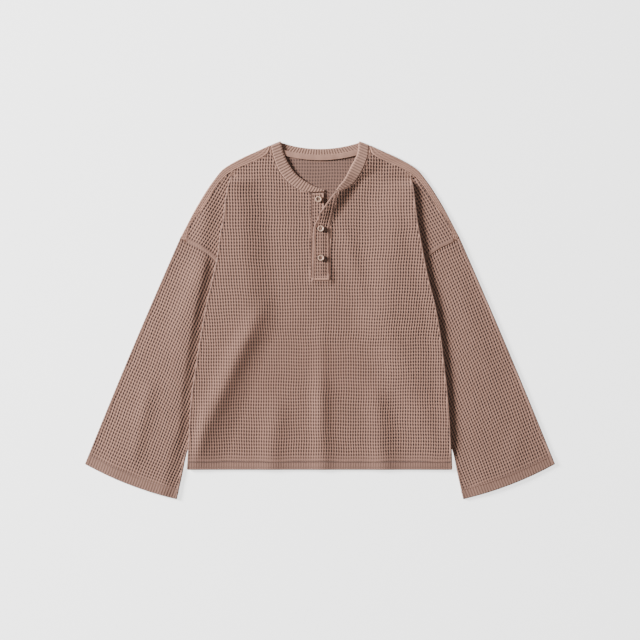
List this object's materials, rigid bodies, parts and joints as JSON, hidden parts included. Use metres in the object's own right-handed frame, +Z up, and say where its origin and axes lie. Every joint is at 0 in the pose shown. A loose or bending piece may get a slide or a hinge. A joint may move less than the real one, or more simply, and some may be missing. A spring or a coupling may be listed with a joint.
{
  "type": "henley shirt",
  "caption": "Long-sleeved waffle-knit henley shirt laid flat, with a ribbed neckband, a buttoned placket and dropped shoulders.",
  "frame": {"origin": "on the surface that the shirt lies on, under the middle of its bounding box", "axes": "+Z up off the surface, through the front; +Y towards the neck; +X across the sleeves, to a viewer's right"},
  "size_m": [0.8456, 0.6438, 0.0109],
  "materials": {
    "waffle_knit": "matt waffle knit in dusty rose brown",
    "rib_knit": "matt rib knit",
    "neck_tape": "smooth woven tape",
    "button": "satin resin, light tan"
  },
  "bodies": {
    "root": {"front": "waffle_knit", "back": "waffle_knit", "sleeve_left": "waffle_knit", "sleeve_right": "waffle_knit", "placket_top": "waffle_knit", "placket_under": "waffle_knit", "neckband": "rib_knit", "neck_tape": "neck_tape", "button_1": "button", "button_2": "button", "button_3": "button"}
  },
  "joints": []
}
